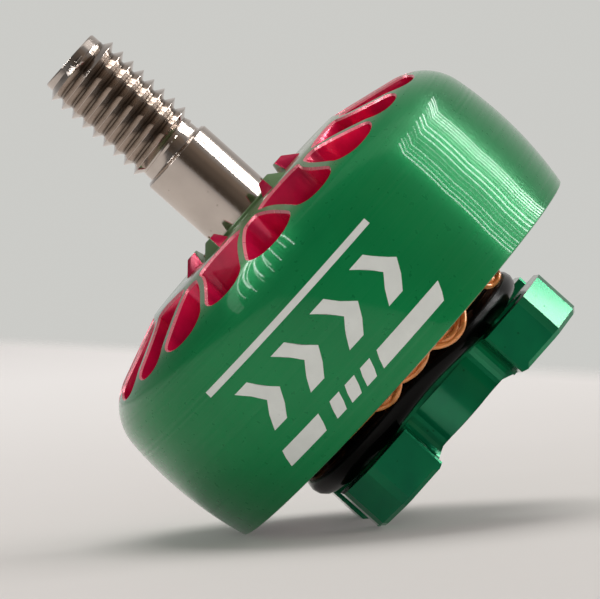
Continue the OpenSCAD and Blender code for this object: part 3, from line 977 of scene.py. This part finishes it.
def shaft_body(s, shape, start):
    """The turned shaft with its bore below, its seat, and a core from the thread's start up."""
    low, tip = SHAFT_LOW[2], SHAFT_HIGH[2]
    collar, seat_top = shape.collar_top, shape.seat_top
    outline = [
        (0, low + 4.5 * MM), (1.25 * MM, low + 4.45 * MM), (1.25 * MM, low), (1.85 * MM, low),
        (2 * MM, low + 0.15 * MM), (2 * MM, shape.plate), (2.15 * MM, shape.plate), (2.15 * MM, collar),
        (s.seat, collar), (s.seat, collar + 2 * MM), (s.seat, seat_top - 0.16 * MM),
        (s.seat - 0.12 * MM, seat_top - 0.03 * MM), (s.seat - 0.2 * MM, seat_top),
        (s.root + 0.1 * MM, seat_top + 0.02 * MM), (s.root + 0.05 * MM, seat_top + 0.1 * MM),
        (s.root + 0.05 * MM, start), (s.root + 0.02 * MM, start + 0.1 * MM),
        (s.root + 0.02 * MM, tip - 0.1 * MM), (s.root - 0.05 * MM, tip), (0, tip)]
    return spun("shaft_body", outline, 128, closed=False)


def shaft_thread(s, start):
    """A ridge wound up the shaft, run out at both ends and cut level."""
    p, root, crest, tip = s.pitch, s.root, s.crest, SHAFT_HIGH[2]
    foot, brow = root + 0.04 * MM, crest - 0.03 * MM
    ridge = [(root, 0.0), (root, 0.045 * p), (foot, 0.09 * p), (brow, 0.46 * p), (crest, 0.485 * p),
             (crest, 0.515 * p), (brow, 0.54 * p), (foot, 0.91 * p), (root, 0.955 * p), (root, p)]
    bottom = s.first_crest - 0.5 * p - 8 * p
    while bottom > start - 1.1 * p:
        bottom -= p
    thread = new_line("thread", [(r, bottom + z) for r, z in ridge])
    only(thread)
    screw = thread.modifiers.new("screw", "SCREW")
    screw.axis, screw.angle, screw.screw_offset = "Z", 2 * math.pi, p
    screw.steps = screw.render_steps = 72
    screw.iterations = 12
    screw.use_merge_vertices = True
    bpy.ops.object.modifier_apply(modifier=screw.name)
    thread.data.transform(Matrix.Rotation(CREST_SIDE, 4, "Z"))
    for v in thread.data.vertices:
        below = max(0.0, tip - 0.5 * MM - v.co.z)
        above = max(0.0, v.co.z - start - 0.12 * MM)
        limit = root + 1.5 * min(below, above)
        r = math.hypot(v.co.x, v.co.y)
        if r > limit:
            v.co.x *= limit / r
            v.co.y *= limit / r
    for height, keep_low in ((start + 0.03 * MM, False), (tip - 0.3 * MM, True)):
        edit_all(thread)
        bpy.ops.mesh.bisect(plane_co=(0, 0, height), plane_no=(0, 0, 1), use_fill=True,
                            clear_inner=not keep_low, clear_outer=keep_low)
    tidy_mesh(thread)
    return thread


class MOTOR_OT_shaft(bpy.types.Operator):
    """Turns the shaft and cuts its thread"""
    bl_idname = "motor.shaft"
    bl_label = "Shaft"

    def execute(self, context):
        s = context.scene.motor_shaft
        shape = BellShape(context.scene.motor_bell)
        start = shape.seat_top + 0.42 * MM
        # Two closed shells that overlap: a boolean union of the two isn't the same mesh each run.
        shaft = joined([shaft_body(s, shape, start), shaft_thread(s, start)], "threaded_shaft")
        dress(shaft, finish("shaft_steel"))
        finished(shaft, "rotor", ("prop_shaft",), 35)
        return {"FINISHED"}


# ---------- windings and sleeves ----------

def coil_turn(r, side, ends, middle, half):
    """One turn of wire round a tooth that points along +X, with rounded corners."""
    w, h, c = side, half + ends, min(side, ends) * 0.8
    corner = ((w, h - c), (w - c * 0.3, h - c * 0.3), (w - c, h))
    corners = [*corner, *((-y, z) for y, z in reversed(corner)),
               *((-y, -z) for y, z in corner), *((y, -z) for y, z in reversed(corner))]
    slip = 0.06 * MM
    return [(Vector((r + (slip if i % 4 else 0), y, middle + z)), 1.0) for i, (y, z) in enumerate(corners)]


class MOTOR_OT_windings(bpy.types.Operator):
    """Winds the coils turn by turn and adds the wires that cross between them"""
    bl_idname = "motor.windings"
    bl_label = "Windings"

    def execute(self, context):
        wire = context.scene.motor_stator.wire
        middle = (CORE_LOW[2] + CORE_HIGH[2]) / 2
        half = (CORE_HIGH[2] - CORE_LOW[2]) / 2
        paths = []
        # Seven turns along a tooth, two layers deep and three at its outer end.
        for i in range(7):
            r = (7.36 + 0.4 * i) * MM
            for k in range(2 if i < 5 else 3):
                gap = 0.07 * MM + wire / 2 + k * wire * 0.94
                paths.append(coil_turn(r + (k % 2) * wire / 2, 0.95 * MM + gap, gap, middle, half))
        coil = tube("coil", paths, wire / 2, 1, closed=True)
        dress(coil, finish("enamelled_copper"))
        for phase, first in (("a", 0), ("b", 2), ("c", 4)):
            coils = [copy_turned(coil, "coil", (first + i) * math.pi / 6) for i in (0, 1, 6, 7)]
            strands = joined(coils, "strands_" + phase)
            finished(strands, "stator", ("winding_" + phase,), 60)
        bpy.data.objects.remove(coil)
        carrier = carrier_of("sleeve_a")
        front = context.scene.motor_camera.azimuth
        across = camera_axes(context.scene.motor_camera)[3]
        crossings, ring = [], 9.5 * MM
        # Each bundle of crossing wires: its image point, its spread, its lowest height and its wires.
        for name, spread, dip, count in (("copper_left", 1.4, 4.62, 2), ("copper_middle", 1.6, 4.72, 2),
                                         ("copper_bulge", 1.8, 4.32, 4), ("copper_right", 1.2, 4.6, 2)):
            aside = place_on(carrier, *IMAGE_POINTS[name]).dot(across)
            around = front + math.asin(aside / ring)
            for k in range(count):
                low, high = dip + 0.27 * k, 5.35 + 0.1 * k
                path = []
                for i in range(17):
                    t = -1 + i / 8
                    z = (low + (high - low) * t * t) * MM
                    reach = ring - 0.1 * MM * k + 0.12 * MM * math.sin(5 * t + 2 * k)
                    path.append((polar(reach, around + t * spread * MM * (1 - 0.06 * k) / ring, z), 1.0))
                crossings.append(path)
        cross = tube("crossing_wires", crossings, wire / 2, 2)
        dress(cross, finish("enamelled_copper"))
        finished(cross, "stator", (), 60)
        return {"FINISHED"}


class MOTOR_OT_sleeves(bpy.types.Operator):
    """Lays the black sleeve round the tube, up over the front notch"""
    bl_idname = "motor.sleeves"
    bl_label = "Sleeves"

    def execute(self, context):
        size = context.scene.motor_stator.sleeve
        path, steps, start, sweep = [], 48, 168, 244
        for i in range(steps + 1):
            degrees = start + sweep * i / steps
            a = math.radians(degrees)
            # How near the place is to the front notch, where the sleeve climbs, and to the left leg.
            front = math.exp(-((degrees - 270) / 26) ** 2)
            left = math.exp(-((degrees - 226) / 18) ** 2)
            thick = 1.16 - 0.14 * math.cos(a) - 0.1 * front
            centre = polar((7.5 + 0.65 * left) * MM, a, 2.97 * MM + thick * size + 0.4 * MM * front)
            path.append((centre + Vector((-0.6 * MM, 0, 0)), thick))
        for end in (0, -1):
            path[end] = (path[end][0], path[end][1] * 0.93)
        sleeve = tube("sleeve_front", [path], size, 5)
        dress(sleeve, finish("black_sleeve"))
        finished(sleeve, "stator", ("sleeve_a",), 50)
        return {"FINISHED"}


# ---------- studio ----------

# Where the motor touches the floor, the bell's rim at the left and the sole of the front left leg, and
# how far the floor tips towards the camera.
RIM_CONTACT = Vector((-13.72, 0, 5.35)) * MM
FOOT_CONTACT = Vector((-8.35, -5.9, 0.0)) * MM
FLOOR_TIP = math.radians(1.62)
# The floor's far edge: its turn from the line of sight, where it is still clear and where it is full.
FLOOR_EDGE_TURN = math.radians(74.6604)
CLEAR_AT, FULL_AT = -77.45 * MM, -66.06 * MM
# How much larger the bell's side shows than the axis, and how far the streak lamps stand from it.
NEARER, STREAK_AWAY = 1.03, 0.33

# Streaks on the bell's side: millimetres from the axis as seen, width, brightness and upper end.
STREAKS = (
    (8.72, 0.6, 12, 14.2), (8.95, 0.5, 11, 14.5), (9.2, 0.3, 8, 14.1), (9.45, 0.5, 10, 14.4),
    (9.75, 0.2, 5, 13.9), (9.98, 0.3, 7, 14.3), (10.3, 0.6, 12, 14.5), (10.62, 0.8, 12, 14.4),
    (10.9, 0.8, 12, 14.3), (11.14, 0.3, 7, 14.7), (11.31, 0.4, 10, 14.5), (11.48, 0.6, 13, 14.9),
    (11.64, 0.6, 13, 14.7), (11.8, 0.6, 13, 14.9), (11.96, 0.6, 9, 14.8),
)
# Strips above that the bell's face and shoulder mirror: degrees aside, millimetres wide, brightness, reach.
UPPER_STRIPS = (
    (-19, 3, 10, 0.2), (-16.4, 2, 16, 0.28), (-14.6, 4, 14, 0.16), (-11.8, 2, 10, 0.26),
    (-10, 3, 18, 0.2), (-7.2, 2, 14, 0.28), (-5.4, 3, 10, 0.17), (-2.6, 2, 16, 0.24),
    (1.2, 2, 14, 0.15), (3.8, 3, 16, 0.22), (-26, 34, 1.2, 0.3),
)
# The surroundings, once round from the wall behind the motor: part of a turn and tone.
ROUND_TONES = (
    (0.0, 0.6), (0.12, 0.42), (0.22, 0.17), (0.3, 0.2), (0.42, 0.19), (0.475, 0.11), (0.495, 0.1),
    (0.53, 0.07), (0.6, 0.13), (0.65, 0.22), (0.7, 0.32), (0.735, 1.1), (0.8, 1.1), (0.84, 0.45), (1.0, 0.6),
)


def stage_floor(context):
    """A floor through the two contacts, seen from just above, that fades out before the wall; painted light
    makes it paler behind the motor, painted shade darker towards the camera and to the sides, and it glows
    faintly.
    """
    f = context.scene.motor_finish
    right, above, sight, _ = camera_axes(context.scene.motor_camera)
    tip = math.sin(FLOOR_TIP)
    way = FOOT_CONTACT - RIM_CONTACT
    lean = -(way.dot(above) + tip * way.dot(sight)) / way.dot(right)
    normal = (right * lean + above + sight * tip).normalized()
    ahead = (sight - normal * sight.dot(normal)).normalized()
    side = ahead.cross(normal)
    corners = [RIM_CONTACT + side * u + ahead * v for u, v in ((-3, -0.6), (3, -0.6), (3, 3), (-3, 3))]
    floor = new_ring("studio_floor", corners, filled=True)
    edit(floor, "FACE", lambda face: True)
    bpy.ops.mesh.subdivide(number_cuts=3)
    deselect()
    if floor.data.polygons[0].normal.dot(normal) < 0:
        edit(floor, "FACE", lambda face: True)
        bpy.ops.mesh.flip_normals()
        deselect()

    # A faint painted glow that lifts the floor and its shadow.
    look = Finish("studio_floor", 22.0, 0.12, Specular_IOR_Level=0.25, Roughness=0.7,
                  Emission_Color=(1.0, 0.95, 0.93, 1.0), Emission_Strength=0.1)
    away, shift = look.dot(look.place, ahead), RIM_CONTACT.dot(ahead)
    beside = look.math("ABSOLUTE", look.math("SUBTRACT", look.dot(look.place, side), RIM_CONTACT.dot(side)))
    tone = look.clouded(scaled(f.floor, 0.97), f.floor)
    # Painted light: the floor is paler behind the motor.
    tone = look.blended(look.ranged(away, 1.0, 0.0, shift - 0.25, shift - 0.02), tone, (0.68, 0.665, 0.66))
    # Painted shade: the floor is darker towards the camera and far to either side.
    dark = look.math("MAXIMUM", look.ranged(away, 0.0, 0.85, shift + 0.06, shift + 0.4),
                     look.ranged(beside, 0.0, 0.8, 0.07, 0.25))
    look.coloured(look.blended(dark, tone, (0.1, 0.098, 0.095)), scaled(f.floor, 0.8))
    look.bumped(look.wear["Tone"], 0.1, 0.0002)
    border = ahead * math.cos(FLOOR_EDGE_TURN) + side * math.sin(FLOOR_EDGE_TURN)
    contact = RIM_CONTACT.dot(border)
    fade = look.put(
        "ShaderNodeMapRange", {"interpolation_type": "SMOOTHSTEP"}, i0=look.dot(look.place, border),
        i1=contact + CLEAR_AT, i2=contact + FULL_AT, i3=1.0, i4=0.0).outputs[0]
    hide = look.math("MAXIMUM", fade, look.put("ShaderNodeNewGeometry").outputs["Backfacing"])
    clear = look.put("ShaderNodeBsdfTransparent").outputs[0]
    mixed = look.put("ShaderNodeMixShader", i0=hide, i1=look.skin.outputs[0], i2=clear).outputs[0]
    look.feed(look.tree.nodes["Material Output"].inputs["Surface"], mixed)
    dress(floor, look.material)
    floor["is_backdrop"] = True
    return normal, ahead


def studio_world(context):
    """A pale wall behind, a darker side where the camera stands, and soft light from above."""
    world = bpy.data.worlds.new("studio")
    context.scene.world = world
    world.use_nodes = True
    nodes = Nodes(world.node_tree)
    way = nodes.put("ShaderNodeTexCoord").outputs["Generated"]
    turned = nodes.put("ShaderNodeMapping", {"vector_type": "POINT"}, Vector=way,
                       Rotation=(0, 0, -context.scene.motor_camera.azimuth)).outputs[0]
    angle = nodes.put("ShaderNodeTexGradient", {"gradient_type": "RADIAL"}, Vector=turned).outputs["Fac"]
    ramp = nodes.put("ShaderNodeValToRGB", Fac=angle)
    stops = ramp.color_ramp
    stops.interpolation = "EASE"
    stops.elements.remove(stops.elements[0])
    for at, tone in ROUND_TONES:
        stop = stops.elements.new(at) if at else stops.elements[0]
        warm = 1.0 if at == 0 else 0.8 if 0.49 < at < 0.66 else 0.97
        stop.position, stop.color = at, (tone, tone * warm, tone * warm * warm, 1)
    shade = nodes.ranged(nodes.parts(way)["Z"], 0.0, 0.65, 0.3, 0.8)
    glow = nodes.blended(shade, ramp.outputs["Color"], (0.1, 0.1, 0.1))
    seen = nodes.put("ShaderNodeLightPath").outputs["Is Camera Ray"]
    wall = context.scene.motor_finish.wall
    nodes.feed(nodes.tree.nodes["Background"].inputs["Color"], nodes.blended(seen, glow, wall))


def lamp(name, place, aim, wide, tall, power, tint=(1, 1, 1)):
    """An area lamp at a place, turned to its aim."""
    deselect()
    bpy.ops.object.light_add(type="AREA", location=place)
    light = bpy.context.active_object
    light.name = name
    light.data.shape, light.data.size, light.data.size_y = "RECTANGLE", wide, tall
    light.data.energy, light.data.color = power, tint
    light.rotation_euler = (Vector(place) - Vector(aim)).to_track_quat("Z", "Y").to_euler()
    return light


def mirror_lamp(name, place, aim, wide, tall, glow):
    """A lamp of the given brightness that shows in mirroring surfaces only."""
    light = lamp(name, place, aim, wide, tall, glow * math.pi * wide * tall)
    light.visible_diffuse = False
    return light


def mirrored(x, z):
    """A place on the barrel, seen this far from the axis and this high, and the place that it mirrors."""
    r = WIDEST - (z - WIDEST_UP) ** 2 / (2 * BOW)
    angle = bpy.context.scene.motor_camera.azimuth + math.asin(x / NEARER / r)
    tilt = math.asin((z - WIDEST_UP) / BOW)
    place, normal = polar(r, angle, z) * MM, polar(math.cos(tilt), angle, math.sin(tilt))
    sight = (bpy.context.scene.camera.matrix_world.translation - place).normalized()
    return place, place + STREAK_AWAY * (2 * normal.dot(sight) * normal - sight)


def streak(places, wide, glow):
    """Narrow lamps along a line, each turned to the place on the bell that mirrors it."""
    for (low, start), (high, end) in zip(places, places[1:]):
        middle, seen = (start + end) / 2, (low + high) / 2
        light = mirror_lamp("ceiling_strip", middle, seen, wide, (end - start).length, glow)
        facing = (middle - seen).normalized()
        along = (end - start - facing * (end - start).dot(facing)).normalized()
        light.rotation_euler = Matrix((along.cross(facing), along, facing)).transposed().to_euler()


class MOTOR_OT_studio(bpy.types.Operator):
    """Builds the floor, the pale surroundings and the lamps"""
    bl_idname = "motor.studio"
    bl_label = "Studio"

    def execute(self, context):
        normal, ahead = stage_floor(context)
        studio_world(context)
        front = context.scene.motor_camera.azimuth
        aim = Vector((0, 0, 10 * MM))
        soft = lamp("soft_overhead", aim + normal * 0.55 - ahead * 0.2, aim, 0.4, 0.4, 2.6, (1, 0.985, 0.96))
        fill = lamp("soft_front", aim + polar(0.5, front + 0.12, 0.03), aim, 0.3, 0.3, 0.9)
        soft.visible_glossy = fill.visible_glossy = False
        for x, wide, glow, top in STREAKS:
            line = [mirrored(x + 0.02 * (z - WIDEST_UP), z) for z in (5.0, 7.3, WIDEST_UP, 12.0, top)]
            streak(line, math.radians(1.2 * wide) * STREAK_AWAY, 1.3 * glow)
        beside = polar(0.32, front + math.radians(96.6), -0.034)
        mirror_lamp("side_panel", aim + beside, aim, 0.022, 0.026, 0.7)
        across = polar(1, front + math.pi / 2)
        for degrees, wide, glow, reach in UPPER_STRIPS:
            angle, up = math.radians(degrees), 0.34
            middle = polar(reach / 2 - 0.09, front) + across * 0.8 * up * math.tan(angle) + Vector((0, 0, up))
            strip = mirror_lamp("upper_strip", aim + middle, aim, wide * MM, reach + 0.18, glow)
            strip.rotation_euler = (0, 0, front + angle + math.pi / 2)
        return {"FINISHED"}


# ---------- panel, points and the run ----------

class MOTOR_PT_panel(bpy.types.Panel):
    """Lists the motor's steps and sizes"""
    bl_label = "Motor"
    bl_idname = "MOTOR_PT_panel"
    bl_space_type = "VIEW_3D"
    bl_region_type = "UI"
    bl_category = "Motor"

    def draw(self, context):
        for step in STEPS:
            self.layout.operator(step.bl_idname)
        for group, kind in GROUPS.items():
            box = self.layout.box()
            box.label(text=kind.__doc__)
            for name in kind.__annotations__:
                box.prop(getattr(context.scene, group), name)


GROUPS = {
    "motor_camera": MOTOR_PG_camera, "motor_finish": MOTOR_PG_finish, "motor_base": MOTOR_PG_base,
    "motor_bell": MOTOR_PG_bell, "motor_shaft": MOTOR_PG_shaft, "motor_stator": MOTOR_PG_stator,
}
STEPS = (MOTOR_OT_camera, MOTOR_OT_finishes, MOTOR_OT_base, MOTOR_OT_bell, MOTOR_OT_marks, MOTOR_OT_shaft,
         MOTOR_OT_windings, MOTOR_OT_sleeves, MOTOR_OT_studio)


def write_points(context):
    """For each image point, finds the nearest vertex that shows; the results are not kept."""
    context.view_layer.update()
    spots = []
    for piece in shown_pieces():
        if piece.type == "MESH":
            spots += [seen_at(piece.matrix_world @ v.co) for v in piece.data.vertices]
    nearest = {
        "front_leg_right_top": ("milled_base", lambda v: v.z > 2.6 * MM and v.x > 0 > v.y),
        "front_leg_right_foot": ("milled_base", lambda v: v.z < 0.5 * MM and v.x > 0 > v.y),
        "front_leg_left_foot": ("milled_base", lambda v: v.z < 0.5 * MM and v.x < 0 and v.y < -4 * MM),
    }
    for name in ("copper_left", "copper_middle", "copper_bulge", "copper_right"):
        nearest[name] = ("crossing_wires", lambda v: True)
    for name, (piece, shows) in nearest.items():
        x, y = IMAGE_POINTS[name]
        min((seen_at(v.co) for v in bpy.data.objects[piece].data.vertices if shows(v.co)),
                          key=lambda p: math.hypot(p[0] - x, p[1] - y))


def register():
    for kind in (*GROUPS.values(), *STEPS, MOTOR_PT_panel):
        bpy.utils.register_class(kind)
    for name, kind in GROUPS.items():
        setattr(bpy.types.Scene, name, bpy.props.PointerProperty(type=kind))


def unregister():
    for name in GROUPS:
        delattr(bpy.types.Scene, name)
    for kind in (MOTOR_PT_panel, *reversed(STEPS), *reversed(list(GROUPS.values()))):
        bpy.utils.unregister_class(kind)


def main():
    register()
    for step in STEPS:
        area, name = step.bl_idname.split(".")
        if getattr(getattr(bpy.ops, area), name)() != {"FINISHED"}:
            raise RuntimeError(step.bl_label + " wasn't finished")
    write_points(bpy.context)


if __name__ == "__main__":
    main()
